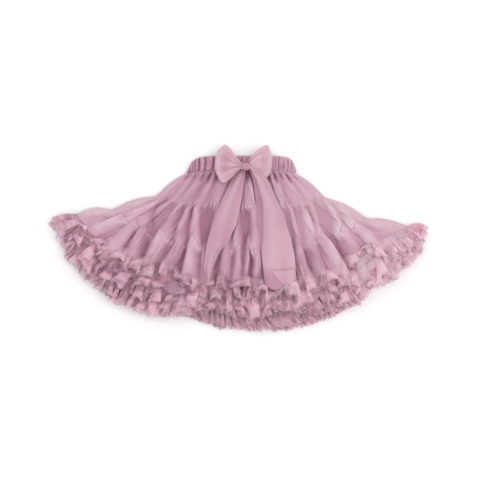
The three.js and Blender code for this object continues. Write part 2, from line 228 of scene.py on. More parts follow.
# The main folds of each front tier, left to right: where the crest crosses the tier's top and bottom
# seams, its half width and its height
FOLDS = {
    "yoke_front": {
        "top": [-94, -79, -63, -45, -28, -7, 14, 36, 54, 72, 86, 97],
        "low": [-146, -120, -97, -74, -45, -14, 18, 50, 77, 103, 126, 146],
        "half": [14, 12, 15, 11, 16, 15, 16, 16, 13, 15, 11, 12],
        "high": [1.8, 2.4, 2.0, 3.0, 2.2, 2.4, 2.4, 2.6, 3.0, 2.2, 2.6, 1.8],
    },
    "middle_tier_front": {
        "top": [-150, -136, -121, -102, -86, -73, -38, -20, -4, 23, 42, 66, 88, 108, 122, 147, 156, 164],
        "low": [-225, -203, -178, -138, -112, -81, -41, -23, -7, 26, 47, 76, 106, 130, 147, 178, 203, 228],
        "half": [25, 14, 13, 17, 11, 12, 15, 9, 11, 14, 11, 15, 10, 13, 8, 14, 15, 26],
        "high": [4.2, 5.2, 4.2, 8.0, 5.4, 7.0, 5.0, 4.2, 6.6, 7.2, 5.0, 5.2, 4.4, 7.4, 4.2, 8.2, 5.4, 5.0],
    },
    "lower_tier_front": {
        "top": [-226, -211, -190, -172, -143, -110, -86, -62, -27, -6, 14, 31, 52, 78, 101, 131, 149, 186, 210,
                227],
        "low": [-298, -266, -234, -203, -165, -133, -93, -62, -37, -10, 12, 34, 60, 87, 121, 153, 185, 217, 248,
                290],
        "half": [32, 20, 20, 17, 23, 17, 24, 13, 15, 14, 12, 13, 15, 16, 19, 16, 22, 20, 20, 31],
        "high": [3.8, 4.6, 6.2, 5.8, 8.0, 6.4, 8.4, 5.4, 6.6, 7.2, 6.6, 6.0, 5.6, 5.6, 7.0, 5.6, 8.2, 6.4, 5.2,
                 3.8],
    },
}

# The deep rosy valleys: where each crosses its tier's top and bottom seams, its half width and depth
VALLEYS = rows_of({
    "tier": ["middle_tier_front"] * 4 + ["lower_tier_front"] * 6,
    "top": [-139, -56, 9, 132, -182, -158, -98, 22, 116, 167],
    "low": [-158, -60, 9, 162, -220, -186, -113, 23, 137, 201],
    "half": [6.0, 8.0, 6.5, 6.5, 5.5, 6.0, 5.0, 4.5, 5.0, 5.5],
    "deep": [4.5, 0.8, 4.5, 5.0, 5.0, 6.0, 5.0, 5.0, 4.5, 6.0],
})

# Short creases that run from the waistband into the yoke: start, end, length and depth
CREASES = rows_of({
    "from": [-89, -76, -62, -50, -37, -22, 46, 58, 69, 80, 91],
    "to": [-104, -90, -76, -60, -43, -26, 54, 67, 79, 93, 105],
    "long": [24, 20, 26, 30, 22, 24, 24, 30, 22, 27, 22],
    "deep": [2.2, 2.4, 3.0, 4.2, 2.6, 3.0, 2.8, 4.4, 2.8, 4.0, 2.4],
})

# Groups of tight gathers under the yoke's seam: middle and half width of each
GATHERED = rows_of({
    "middle": [-131, -81, -48, 14, 88, 136],
    "half": [10, 9, 20, 18, 24, 14],
})


# How crisp the crests are, fold after fold: 0.7 is broad and round, 1.6 is narrow
CRISP = [0.8, 1.3, 0.75, 1.5, 1.0, 0.7, 1.4, 0.9, 1.2]


# The folds' mean height as a share of the table's, how unlike they are, and how much their courses waver
FOLD_MEAN, FOLD_SPREAD, FOLD_WAVER = 0.9, 0.42, 0.007
LOWER_ROUGH = 1.3  # how uneven the lowest tier's lower half is
CREASE_DEPTH = 2.5  # the depth of a crease in the yoke whose deep is 1


def tier_length(tier):
    """The length down the middle of a tier."""
    return SEAMS[tier["top"]]["y"] - SEAMS[tier["bottom"]]["y"]


def seam_reach(tier):
    """Layout length of one unit of t in the middle of a tier."""
    half = (SEAMS[tier["top"]]["right"] + SEAMS[tier["bottom"]]["right"]) / 2
    return half * SEAM_TURN / math.sin(SEAM_TURN)


def course(tier, top, low, v):
    """Where a fold that crosses the tier's two seams at top and low runs: its t at v."""
    return mix(seam_place(tier["top"], top), seam_place(tier["bottom"], low), v)


def fold_crown(name, t, v, heights=None):
    """The folds of a tier as rounded crests side by side, 1 on top of each unless heights are given."""
    tier = TIERS[name]
    folds = FOLDS[name]
    reach = seam_reach(tier)
    total = 0
    for row, (top, low) in enumerate(zip(folds["top"], folds["low"])):
        off = (t - course(tier, top, low, v)) / (folds["half"][row] * mix(0.6, 1.1, v) / reach)
        crown = np.cos(math.pi / 2 * np.clip(np.abs(off), 0, 1)) ** CRISP[row % len(CRISP)]
        total = total + (crown * (heights[row] if heights else 1)) ** 4
    return total ** 0.25


def own_height(name, t, v):
    """A tier's folds, valleys and gathers, before its top seam holds them down."""
    tier = TIERS[name]
    seed = tier["seed"]
    u = (t + 1) / 2
    length = tier_length(tier)
    down = v * length
    reach = seam_reach(tier)
    bent = t + tier["bent"] * noise_sheet(u * 13, v * 1.5, seed)
    bent = bent + FOLD_WAVER * noise_sheet(u * 34, v * 3, seed + 1)
    height = fold_crown(name, bent, v, FOLDS[name]["high"])
    height = height * (FOLD_MEAN + FOLD_SPREAD * noise_sheet(u * 21, v * 2.2, seed + 2)) - tier["sunk"]
    for valley in VALLEYS:
        if valley["tier"] == name:
            off = (bent - course(tier, valley["top"], valley["low"], v)) / (valley["half"] / reach)
            height = height - valley["deep"] * hump(off) * np.sin(math.pi * mix(0.12, 0.85, v)) ** 0.6
    pleats = 3.1 * tier["columns"] / 20 * u
    pleat = flute(pleats + 1.2 * noise_line(u * 30, seed + 4) + 0.3 * noise_line(v * 3, seed), 0.3)
    height = height + tier["streak"] * pleat * np.clip(noise_sheet(u * 26, v * 3, seed + 5) + 0.35, 0, 1)
    height = height + tier["soft"] * noise_sheet(u * 50, v * 7, seed + 9) * ease(v / 0.3)
    if name == LOWEST:
        height = height + LOWER_ROUGH * noise_sheet(u * 66, v * 9, seed + 15) * ease((v - 0.5) / 0.3)
    if name == "yoke_front":
        for crease in CREASES:
            share = np.clip(down / crease["long"], 0, 1)
            low = crease["from"] + (crease["to"] - crease["from"]) * length / crease["long"] * 0.9
            off = (t - course(tier, crease["from"], low, v)) * reach / mix(2.4, 5.0, share)
            height = height - CREASE_DEPTH * crease["deep"] * hump(off) * (1 - share) ** 0.8
    return height


def tight_gathers(name, t, v):
    """The narrow gathers under a tier's top seam, which run out over a short way."""
    tier = TIERS[name]
    seed = tier["seed"]
    u = (t + 1) / 2
    down = v * tier_length(tier)
    grouped = 1.0
    if name == "middle_tier_front":
        x = SEAMS["yoke_seam"]["right"] * np.sin(SEAM_TURN * t) / math.sin(SEAM_TURN)
        grouped = 0.3
        for group in GATHERED:
            grouped = grouped + 0.9 * np.exp(-(((x - group["middle"]) / group["half"]) ** 4))
    turns = tier["gathers"] * u + 0.5 * noise_line(u * 60, seed + 6)
    strength = 0.5 + 0.5 * noise_line(u * tier["gathers"], seed + 7)
    run = tier["run"] * (0.8 + 0.5 * noise_line(u * 40, seed + 8))
    return tier["tight"] * grouped * strength * np.exp(-((down / run) ** 1.5)) * flute(turns, 0.3)


def tier_height(name, t, v):
    """How far a tier's cloth stands off its ground: it leaves its top seam at the height of the tier above."""
    tier = TIERS[name]
    down = v * tier_length(tier)
    start = tier_height(tier["above"], t, 1.0) - 0.5 if tier["above"] else 0.3
    free = ease(down / tier["held"])
    puffed = tier["swell"] * (1 - t**2) ** 2 * (1 - np.exp(-down / 3)) * np.exp(-down / 34)
    height = mix(start, own_height(name, t, v), free) + puffed + tight_gathers(name, t, v)
    if name == LOWEST:
        height = mix(height, 0.25 * height, ease((v - 0.8) / 0.2))
    return height


def tier_ground(tier, t, v, wanders=True):
    """The front's mid surface with neither folds nor valleys."""
    top_x, top_y = seam_point(tier["top"], t, wanders)
    low_x, low_y = seam_point(tier["bottom"], t, wanders)
    x = mix(top_x, low_x, v)
    y = mix(top_y, low_y, v)
    puff = np.where(t < 0, tier["puff"][0], tier["puff"][1])
    y = y + puff * np.abs(t) ** 9 * np.sin(math.pi * v)
    arch = 1 + 0.12 * np.sin(math.pi * v)
    lift = mix(SEAMS[tier["top"]]["lift"], SEAMS[tier["bottom"]]["lift"], v)
    z = FRONT_REST + lift * arch * side_fall(t)
    return np.stack([x, y, z], axis=1)


def fold_lean(name, t, height):
    """How far a fold of a tier leans sideways, so that one of its sides is crisp."""
    way = 0.4 * np.tanh(3 * t) + 0.6 * noise_line((t + 1) / 2 * 11, TIERS[name]["seed"] + 12)
    return folds_kept(t) * way * height


def fold_shade(name, height):
    """The painted shade of a tier's cloth by its height in the folds: darker in the valleys, paler on the
    crests.
    """
    return 0.2 + 0.6 * height / max(FOLDS[name]["high"])


def side_light(t, right):
    """How much paler the thin cloth is painted towards the side folds, and the painted light at the right,
    where the light falls.
    """
    return 0.75 * np.abs(t) ** 2.3 + right * np.tanh(3 * t)


SEAM_HOLD = 0.15  # the share of a tier's length over which the seam below it keeps its folds from leaning
BULGE_AT = 4.5  # how far below its top seam a tier bulges up over it the most
SEAM_LIP = {"tuck": 2.2, "run": 1.2}  # how far a tier is tucked up behind the one above, and over what way


def tier_point(name, u, v):
    """Points of a front tier's cloth, its painted shade and light as how pale each is, and how much the net is
    seen through there.
    """
    tier = TIERS[name]
    t = 2 * u - 1
    ground = tier_ground(tier, t, v)
    down = v * tier_length(tier)
    inside = folds_kept(t)
    height = tier_height(name, t, v)
    crest = fold_crown(name, t, v)
    held_below = 1 if name == LOWEST else ease((1 - v) / SEAM_HOLD)
    ground[:, 0] += fold_lean(name, t, height) * ease(v / 0.2) * held_below
    over = tier["over"] * (1 - t**2) ** 1.5 * np.clip(0.4 + 0.9 * noise_line(u * 24, tier["seed"] + 14), 0, 1.1)
    over = inside * over * crest ** 0.6 * (down / BULGE_AT) * np.exp(1 - down / BULGE_AT)
    top_x, top_y = seam_point(tier["top"], t)
    low_x, low_y = seam_point(tier["bottom"], t)
    span = np.hypot(top_x - low_x, top_y - low_y)
    ground[:, 0] += over * (top_x - low_x) / span
    ground[:, 1] += over * (top_y - low_y) / span
    ground[:, 1] += SEAM_LIP["tuck"] * np.exp(-down / SEAM_LIP["run"]) * (0 if tier["above"] is None else 1)
    ground[:, 2] += inside * height
    ground[:, 2] = np.maximum(ground[:, 2], FRONT_REST + 0.2)
    painted_shade = fold_shade(name, np.maximum(height, -2))
    if name == "yoke_front":
        # painted highlight along the yoke's lower seam edge; the yoke keeps less of the painted side light
        seam_edge_highlight = 0.25 * ease((v - 0.965) / 0.02)
        painted_shade = 0.2 + 0.6 * painted_shade + seam_edge_highlight - 0.35 * side_light(t, tier["right"])
    else:
        # painted highlight on the cloth that puffs out just below the top seam, and on the tight gathers'
        # crests
        seam_bulge_highlight = 0.3 * (1 - t**2) ** 2 * hump(down / 5)
        painted_shade = painted_shade + seam_bulge_highlight + 0.06 * tight_gathers(name, t, v) + tier["paler"]
    painted_shade = np.clip(painted_shade + side_light(t, tier["right"]), 0, 1)
    return ground, painted_shade, 0.55 + 0.45 * ease((np.abs(t) - 0.8) / 0.2)


# Frills of the hem, from the surface up. Each is a strip of net gathered onto a line between the tier's
# end and the hem, whose petals swing up and down.
LONGEST_SHARE = 1.5
FRILLS = rows_of({
    "name": ["frill_front_under", "frill_front_lower", "frill_front_middle", "frill_front_upper",
             "frill_front_crown", "frill_front_tufts", "frill_back_under", "frill_back_lower",
             "frill_back_upper"],
    # the panel that it belongs to
    "panel": ["front"] * 6 + ["back"] * 3,
    # the share of the skirt's width that it spans
    "ends": [0.998, 0.998, 0.992, 0.98, 0.975, 0.965, 0.9, 0.9, 0.88],
    # the line that it is gathered onto, on the way from the tier's end (0) to the hem (1), and the
    # strip's length as a share of that way, or in millimetres where it is over LONGEST_SHARE
    "from": [0.1, 0.32, 0.3, 0.02, -0.26, -0.04, 0.0, 0.1, 0.45],
    "long": [0.9, 0.66, 31, 36, 30, 35, 0.97, 0.88, 0.5],
    # how far the line lies above the cloth below it
    "base": [1.0, 1.5, 2.0, 1.5, 0.5, 0.5, 1.2, 3.4, 4.0],
    # the mean slope, how far the petals swing up and down from it, and their curl, in degrees
    "lift": [-17, -9, 0, 4, 3, 22, 1, 3, 8],
    "swing": [4, 8, 20, 24, 19, 24, 2, 6, 10],
    "curl": [6, 15, 32, 34, 34, 50, 3, 9, 22],
    # how many petals, or 0 for one on each fold of the tier, and how pointed and unlike they are
    "petals": [46, 38, 22, 17, 0, 21, 84, 60, 48],
    "point": [0.03, 0.07, 0.15, 0.17, 0.2, 0.17, 0.02, 0.03, 0.05],
    "uneven": [0.03, 0.1, 0.2, 0.34, 0.36, 0.2, 0.03, 0.04, 0.06],
    # how far a petal sways sideways
    "sway": [4.5, 5.5, 6, 6.5, 7.5, 6, 2.4, 3, 3.4],
    # how far the line wanders, how much the hem follows STRAYS, and whether it comes in tufts
    "stray": [0, 0, 0.06, 0.14, 0.06, 0.2, 0, 0, 0.05],
    "follows": [1, 1, 0.7, 0.3, 0, 0, 0, 0, 0],
    "patchy": [0, 0, 0, 0, 0, 1, 0, 0, 0],
    # the ripples' height, how crushed the net is, and how far its raw edge is frayed
    "ripple": [2.0, 2.3, 2.8, 2.8, 3.0, 3.4, 1.5, 1.7, 1.8],
    "crush": [1.4, 3.6, 3.8, 3.8, 4.0, 4.2, 0.5, 0.8, 1.0],
    "frayed": [2.8, 2.0, 1.6, 1.6, 2.4, 1.8, 2.6, 2.4, 1.8],
    # the grid of its mesh
    "columns": [1200, 1150, 1150, 1150, 1100, 900, 1100, 1150, 1000],
    "rows": [10, 13, 13, 13, 13, 10, 9, 10, 8],
    "seed": [101, 131, 151, 171, 178, 187, 191, 211, 231],
})

# Where the lowest net strays past the hem line or stops short of it: place, half width and reach of each
STRAYS = rows_of({
    "x": [-311, -287, -135, -60, -22, 27, 68, 124, 243, 322],
    "half": [5, 6, 55, 16, 10, 17, 20, 16, 20, 12],
    "more": [9, 6, 8, -8, 5, 19, -8, 5, -15, 7],
})

# How far above the lowest tier's end the tufts start, across the skirt
TUFT_STARTS = {
    "x": [-320, -270, -210, -140, -72, 0, 60, 110, 202, 270, 310],
    "up": [-12, -4, 26, 34, 16, 20, 8, 18, 26, 12, -4],
}

# How far the frill bulges towards the waist at its two ends
END_BULGE = {"left": 7, "right": 13}

HIGHEST = 53  # no frill stands higher
CALM = 6  # the heights below that over which it is slowed down
HEM_REST = 9  # the front hem's height above the surface

# Where the tails press the front's upper frills down
PRESSED = [{"x": -58, "half": 16}, {"x": 76, "half": 34}]


def pressed_at(x):
    """How much the tails press the frills down, across the skirt."""
    share = 0
    for tail in PRESSED:
        share = share + 0.5 * np.exp(-(((x - tail["x"]) / tail["half"]) ** 4))
    return share


def front_height(t):
    """The height of the front's lower edge, above the frills' line."""
    return FRONT_REST + SEAMS["front_stitch"]["lift"] * side_fall(t)


def place_on_tier(x, y, near):
    """The shares t and v of the lowest front tier below points seen from above, searched from near."""
    tier = TIERS[LOWEST]
    step = 0.01
    t = np.clip(near, -0.97, 0.97)
    v = np.full_like(t, 0.9)
    for _ in range(6):
        here = tier_ground(tier, t, v)
        along_t = (tier_ground(tier, t + step, v) - here) / step
        along_v = (tier_ground(tier, t, v + step) - here) / step
        dx = x - here[:, 0]
        dy = y - here[:, 1]
        area = along_t[:, 0] * along_v[:, 1] - along_t[:, 1] * along_v[:, 0]
        t = np.clip(t + (dx * along_v[:, 1] - dy * along_v[:, 0]) / area, -0.985, 0.985)
        v = np.clip(v + (dy * along_t[:, 0] - dx * along_t[:, 1]) / area, 0.2, 1.1)
    return t, np.minimum(v, 1)


def height_below(x, y, near):
    """The height of the lowest front tier's cloth, that of its folds and their lean, below points."""
    t, v = place_on_tier(x, y, near)
    folds = folds_kept(t) * own_height(LOWEST, t, v)
    return tier_ground(TIERS[LOWEST], t, v)[:, 2] + folds, folds, fold_lean(LOWEST, t, folds)


def pointed(turns):
    """Sharp points from -1 to 1, one at each whole number."""
    share = turns - np.floor(turns)
    return np.abs(4 * share - 2) - 1


def petal_count(frill, t):
    """Counts a frill's petals from its left end: each has its crest at a whole number."""
    if frill["petals"] == 0:
        crests = [seam_place("front_stitch", x) for x in FOLDS[LOWEST]["low"]]
        return np.interp(t, [-1.04] + crests + [1.04], np.arange(len(crests) + 2))
    u = (t + 1) / 2
    wander = 1.1 * noise_line(u * frill["petals"] * 0.45, frill["seed"])
    return frill["petals"] * u + wander + 0.3 * noise_line(u * frill["petals"], frill["seed"] + 20)


# The ripples in a petal: how many of each size, and the share of the ripples' height
COARSE_RIPPLES, FINE_RIPPLES, FINE_SHARE = 2.9, 6.7, 0.4

# Painted shade and light on the net, as how pale it is: at its line, down its length, on a petal's crest, per
# millimetre that it stands up, at the raw edge, and towards both sides, the right and the far right, where the
# light falls
NET_SHADE = {"line": 0.31, "down": 0.1, "crest": 0.12, "high": 0.08, "edge": 0.1, "sides": 0.14, "right": 0.06,
             "far_right": 0.64}


def net_shade(w, angle, normal):
    """How pale a frill's net is painted along its length, with painted highlights on its petals and on its
    ripples.
    """
    rim = ease((w - 0.72) / 0.28)
    painted_shade = NET_SHADE["line"] + NET_SHADE["down"] * (w - 0.35)
    painted_shade = painted_shade + NET_SHADE["crest"] * np.cos(angle) * ease(w / 0.3)
    return painted_shade + NET_SHADE["high"] * normal + NET_SHADE["edge"] * rim


def across_shade(t, painted_shade):
    """The same painted shade, made paler towards the sides, painted lighter at the right where the light falls,
    and darker at both ends.
    """
    painted_shade = painted_shade + NET_SHADE["sides"] * np.abs(t) ** 3 + NET_SHADE["right"] * np.tanh(3 * t)
    painted_shade = np.clip(painted_shade + NET_SHADE["far_right"] * ease((t - 0.34) / 0.4), 0, 1)
    return painted_shade - np.where(t < 0, 0.15, 0.55) * np.abs(t) ** 14


def frill_point(frill, u, w):
    """Points of a frill's net, its painted shade and light as how pale each is, and how near its raw edge: w,
    which starts at its line.
    """
    seed = frill["seed"]
    front = frill["panel"] == "front"
    on_tier = frill["from"] < 0
    t = (2 * u - 1) * frill["ends"]
    stitch_x, stitch_y = seam_point(frill["panel"] + "_stitch", t)
    hem_x, hem_y = seam_point(frill["panel"] + "_hem", t)
    span = np.hypot(hem_x - stitch_x, hem_y - stitch_y)
    out_x = (hem_x - stitch_x) / span
    out_y = (hem_y - stitch_y) / span
    root = frill["from"] + frill["stray"] * noise_line(u * 19, seed + 16)
    if frill["patchy"]:
        root = root - np.interp(stitch_x, TUFT_STARTS["x"], TUFT_STARTS["up"]) / span
    root = root * folds_kept(t)
    root_x = mix(stitch_x, hem_x, root)
    root_y = mix(stitch_y, hem_y, root)
    end = 1 - 0.1 * np.abs(t) ** 6
    long = frill["long"] * span if frill["long"] < LONGEST_SHARE else frill["long"] * end

    turns = petal_count(frill, t)
    angle = 2 * math.pi * turns
    petal = noise_line(turns, seed + 1)
    big = noise_line(turns * 0.6, seed + 2)
    strength = 0.8 + 0.45 * petal
    kept = 1 - (pressed_at(root_x) if front and frill["long"] > LONGEST_SHARE else 0)
    points = frill["point"] * pointed(turns * 1.5 + 0.5 * big)
    long = long * (1 + frill["uneven"] * noise_line(turns + 0.2, seed + 10) + points)
    long = long * (1 + 0.045 * noise_line(turns * 6, seed + 11))
    long = long + frill["frayed"] * noise_line(u * 330, seed + 7)
    present = np.clip(0.6 + 1.3 * noise_line(turns * 0.8 + 0.5, seed + 14), 0.15, 1)
    long = long * mix(1, present, frill["patchy"])
    tilt = frill["lift"] + 4 * big + frill["swing"] * strength * (1 - 0.45 * t**4) * np.cos(angle)
    tilt = mix(frill["lift"] + 4 * np.cos(angle), tilt, kept)
    curl = frill["curl"] * (1 + 0.6 * noise_line(turns * 2 + 0.7, seed + 3))
    first = np.radians(tilt + curl / 2)
    bend = -np.radians(curl)
    bend = np.where(np.abs(bend) < 0.02, 0.02, bend)
    here = first + bend * w
    outward = long * (np.sin(here) - np.sin(first)) / bend
    rise = long * (np.cos(first) - np.cos(here)) / bend

    # ripples that grow towards the free edge, in two sizes, and the sideways sway of each petal
    coarse = 2 * math.pi * (COARSE_RIPPLES * turns + 0.9 * noise_line(turns * 1.3, seed + 4))
    fine = 2 * math.pi * (FINE_RIPPLES * turns + 0.9 * noise_line(turns * 3, seed + 5))
    crumple = frill["ripple"] * w ** 1.3 * (0.75 + 0.6 * noise_line(turns * 2, seed + 6)) * (1 + 0.5 * t**4)
    normal = crumple * np.cos(coarse) + FINE_SHARE * crumple * w * np.cos(fine + 0.6)
    crushed = noise_sheet(turns * 3.4 + 2 * w, w * long / 10, seed + 8)
    crushed = crushed + 0.85 * noise_sheet(turns * 9, w * long / 5, seed + 12)
    wilder = 1 + np.where(t < 0, 0.6, 0.2) * t**6
    normal = normal + frill["crush"] * ease(w / 0.6) * (0.6 + 0.6 * w) * wilder * crushed
    lean = long * 0.3 * noise_line(turns * 0.7 + 3, seed + 9)
    sideways = w * lean * (0.4 + 0.6 * w) + frill["sway"] * w * strength * np.sin(2 * angle + 0.8 * big)
    sideways = sideways + 0.8 * crumple * np.sin(coarse + 1.1) + 0.3 * crumple * np.sin(fine)
    if frill["follows"]:
        for stray in STRAYS:
            near = hump((hem_x - stray["x"]) / stray["half"])
            outward = outward + frill["follows"] * stray["more"] * w**2 * near
    outward = outward - normal * np.sin(here) + np.where(t < 0, 12, 5) * w * np.abs(t) ** 16
    x = root_x + out_x * outward - out_y * sideways * end
    y = root_y + out_y * outward + out_x * sideways * end
    painted_shade = net_shade(w, angle, normal)
    if front:
        stack = mix(front_height(t), HEM_REST, np.clip(root, 0, 1)) + frill["base"]
        lowest = np.full_like(t, FRONT_REST)
        if on_tier:
            surface, folds, lean = height_below(x, y, t)
            x = x + lean * (1 - w * frill["patchy"])
            stack = surface + frill["base"]
            # the tufts are painted a little paler
            painted_shade = painted_shade + 0.05 * frill["patchy"]
            lowest = np.where(outward < -root * span, surface + np.minimum(0.9, 6 * w - 0.7), FRONT_REST)
            stack = stack - 1.2 * ease(1 - w / 0.2)
            # where the net leaves the tier it takes on the tier's painted shade, then the net's own, painted a
            # little paler
            tier_painted_shade = fold_shade(LOWEST, folds) + side_light(t, TIERS[LOWEST]["right"])
            painted_shade = mix(tier_painted_shade, painted_shade + 0.1, ease(w / 0.7))
        bulge = np.where(t < 0, END_BULGE["left"], END_BULGE["right"]) * np.abs(t) ** 16
        y = y + bulge * np.sin(0.8 * math.pi * np.clip(root + outward / span, 0, 1))
    else:
        stack = BACK_WALL / 2 + frill["base"]
        lowest = 0.3
    z = stack + rise + normal * np.cos(here)
    z = np.maximum(z, lowest + 0.25 * np.abs(normal))
    z = np.where(z > HIGHEST - CALM, HIGHEST - CALM * np.exp(-(z - HIGHEST + CALM) / CALM), z)
    return np.stack([x, y, z], axis=1), across_shade(t, painted_shade), w


# Mesh making
def deselect_all():
    for other in bpy.context.selected_objects:
        other.select_set(False)


def finish_piece(piece, thickness):
    """Give a sheet its thickness and smooth its shading."""
    bpy.context.view_layer.objects.active = piece
    wall = piece.modifiers.new("wall", "SOLIDIFY")
    wall.thickness = thickness / 1000
    wall.offset = 0
    bpy.ops.object.modifier_apply(modifier=wall.name)
    piece.data.polygons.foreach_set("use_smooth", np.ones(len(piece.data.polygons), dtype=bool))
    piece.data.update()


def mark_points(mesh, name, values):
    """Give each point of a mesh a value that the material reads."""
    values = np.broadcast_to(values, len(mesh.vertices))
    mesh.attributes.new(name, "FLOAT", "POINT").data.foreach_set("value", values.astype(np.float32))


def sheet_piece(name, columns, rows, place, thickness, material, nodes):
    """A sheet of cloth: a grid whose points are placed by place(across, down), in millimetres.

    place also gives each point's painted shade and light, as how pale it is, and how near it is to a free edge.
    """
    deselect_all()
    bpy.ops.mesh.primitive_grid_add(x_subdivisions=columns, y_subdivisions=rows, size=1)
    piece = bpy.context.object
    piece.name = name
    mesh = piece.data
    mesh.name = name
    flat = np.empty(len(mesh.vertices) * 3, dtype=np.float32)
    mesh.vertices.foreach_get("co", flat)
    flat = flat.reshape(-1, 3).astype(float)
    across = np.clip(flat[:, 0] + 0.5, 0, 1)
    down = np.clip(0.5 - flat[:, 1], 0, 1)
    points, painted_shade, free = place(across, down)
    mesh.vertices.foreach_set("co", (points / 1000 + LAYOUT).astype(np.float32).ravel())
    # ridge carries each point's painted shade and light, which the material turns into darker and paler pinks
    mark_points(mesh, "ridge", painted_shade)
    mark_points(mesh, "free_edge", free)
    mesh.update()
    finish_piece(piece, thickness)
    dress(piece, material, nodes)
    return piece


def dress(piece, material, nodes):
    piece.data.materials.clear()
    piece.data.materials.append(material)
    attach(piece, "root")
    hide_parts(*nodes)


# Materials
def add_node(tree, kind, values=None):
    """A node of a material, with its constants by the names of their sockets."""
    node = tree.nodes.new("ShaderNode" + kind)
    for socket, value in (values or {}).items():
        node.inputs[socket].default_value = value
    return node


def tulle(name, light, deep, paler, see_through, edge_see_through, through_light, streaks, weave):
    """Fine net: pinks painted by the height of the folds as painted shade and light, soft sheen, some light
    through, fine pleats as bump.
    """
    material = bpy.data.materials.new(name)
    material.use_nodes = True
    tree = material.node_tree
    tree.nodes.clear()
    out = add_node(tree, "OutputMaterial")
    skin = add_node(tree, "BsdfPrincipled", {"Roughness": 0.82, "Sheen Weight": 0.35, "Sheen Roughness": 0.45,
                                             "Sheen Tint": (1.0, 0.9, 0.94, 1), "Specular IOR Level": 0.25})
    through = add_node(tree, "BsdfTranslucent")
    clear = add_node(tree, "BsdfTransparent")
    both = add_node(tree, "MixShader", {"Fac": through_light})
    whole = add_node(tree, "MixShader")

    place = add_node(tree, "TexCoord")
    # ridge is each point's painted shade and light; the ramp runs from the deep pink in painted shade to the
    # light pink
    ridge = add_node(tree, "Attribute")
    ridge.attribute_name = "ridge"
    free = add_node(tree, "Attribute")
    free.attribute_name = "free_edge"

    # clouds move the shade of the folds up or down by at most 0.15
    cloud = add_node(tree, "TexNoise", {"Scale": 28, "Detail": 4})
    shade = add_node(tree, "Math", {1: 0.3})
    shade.operation = "MULTIPLY_ADD"
    lowered = add_node(tree, "Math", {1: 0.15})
    lowered.operation = "SUBTRACT"
    ramp = add_node(tree, "ValToRGB")
    ramp.color_ramp.elements[0].position = 0.1
    ramp.color_ramp.elements[0].color = (*linear(*deep), 1)
    ramp.color_ramp.elements[1].position = 0.66
    ramp.color_ramp.elements[1].color = (*linear(*light), 1)
    # painted highlight: the crests' paler pink
    pale = ramp.color_ramp.elements.new(1.0)
    pale.color = (*(mix(c, 1, paler) for c in linear(*light)), 1)

    # fine pleats that run down the cloth, and the net's own weave
    squeeze = add_node(tree, "Mapping", {"Scale": (streaks, 7, 1)})
    pleats = add_node(tree, "TexNoise", {"Scale": 1, "Detail": 3})
    net = add_node(tree, "TexVoronoi")
    net.feature = "DISTANCE_TO_EDGE"
    net.inputs["Scale"].default_value = weave
    pleat_bump = add_node(tree, "Bump", {"Strength": 0.5, "Distance": 0.0012})
    net_bump = add_node(tree, "Bump", {"Strength": 0.25, "Distance": 0.0002})

    # the net is seen through more at a frill's free edge
    fringe = add_node(tree, "MapRange", {"From Min": 0.6, "From Max": 1.0, "To Min": see_through,
                                         "To Max": edge_see_through})

    for start, output, end, into in (
            (place, "Object", cloud, "Vector"), (cloud, "Fac", shade, 0), (ridge, "Fac", lowered, 0),
            (lowered, "Value", shade, 2), (shade, "Value", ramp, "Fac"), (ramp, "Color", skin, "Base Color"),
            (ramp, "Color", through, "Color"), (place, "UV", squeeze, "Vector"),
            (squeeze, "Vector", pleats, "Vector"), (place, "Object", net, "Vector"),
            (pleats, "Fac", pleat_bump, "Height"), (net, "Distance", net_bump, "Height"),
            (pleat_bump, "Normal", net_bump, "Normal"), (net_bump, "Normal", skin, "Normal"),
            (net_bump, "Normal", through, "Normal"), (free, "Fac", fringe, "Value"), (skin, "BSDF", both, 1),
            (through, "BSDF", both, 2), (fringe, "Result", whole, "Fac"), (both, "Shader", whole, 1),
            (clear, "BSDF", whole, 2), (whole, "Shader", out, "Surface")):
        tree.links.new(start.outputs[output], end.inputs[into])
    return material


def linear(red, green, blue):
    """A colour read as 0 to 255, as Blender's linear values."""
    return tuple(((c / 255 + 0.055) / 1.055) ** 2.4 for c in (red, green, blue))


# The cloths: their two pinks, the deep one for painted shade and the light one for painted light, how far
# crests are painted paler than the lighter one as painted highlight, how much is seen through them and at their
# free edges, how much light they let through, and how many fine pleats and how fine a weave. pink_sash_shaded
# is the sash's cloth in painted shade.
CLOTHS = rows_of({
    "name": ["pink_tulle", "pink_frill", "pink_crown", "pink_band", "pink_sash_shaded", "pink_thread",
             "pink_sash"],
    "light": [(229, 188, 206), (252, 220, 234), (230, 191, 208), (198, 152, 171), (208, 164, 183),
              (202, 158, 176), (216, 176, 192)],
    "deep": [(188, 132, 155), (213, 176, 193), (192, 137, 160), (156, 102, 126), (132, 84, 104),
             (178, 132, 152), (196, 146, 167)],
    "paler": [0.34, 0.3, 0.34, 0.1, 0.1, 0.0, 0.1],
    "see_through": [0.0, 0.18, 0.0, 0.0, 0.0, 0.0, 0.0],
    "edge_see_through": [0.22, 0.7, 0.7, 0.0, 0.0, 0.0, 0.0],
    "through_light": [0.3, 0.46, 0.4, 0.05, 0.0, 0.0, 0.15],
    "streaks": [520, 900, 520, 200, 60, 8, 60],
    "weave": [900, 900, 900, 1100, 1300, 1300, 1300],
})
TULLE, FRILL, CROWN, BAND, SHADED, THREAD, SASH = (tulle(**cloth) for cloth in CLOTHS)


# The pieces
def build_tiers():
    for name, tier in TIERS.items():
        first = SEAM_GAP / tier_length(tier)

        def place(u, v, name=name, first=first):
            return tier_point(name, u, mix(first, 1 - first, v))

        yield sheet_piece(name + "_cloth", tier["columns"], tier["rows"], place, WALLS["tier"], TULLE,
                          [name])


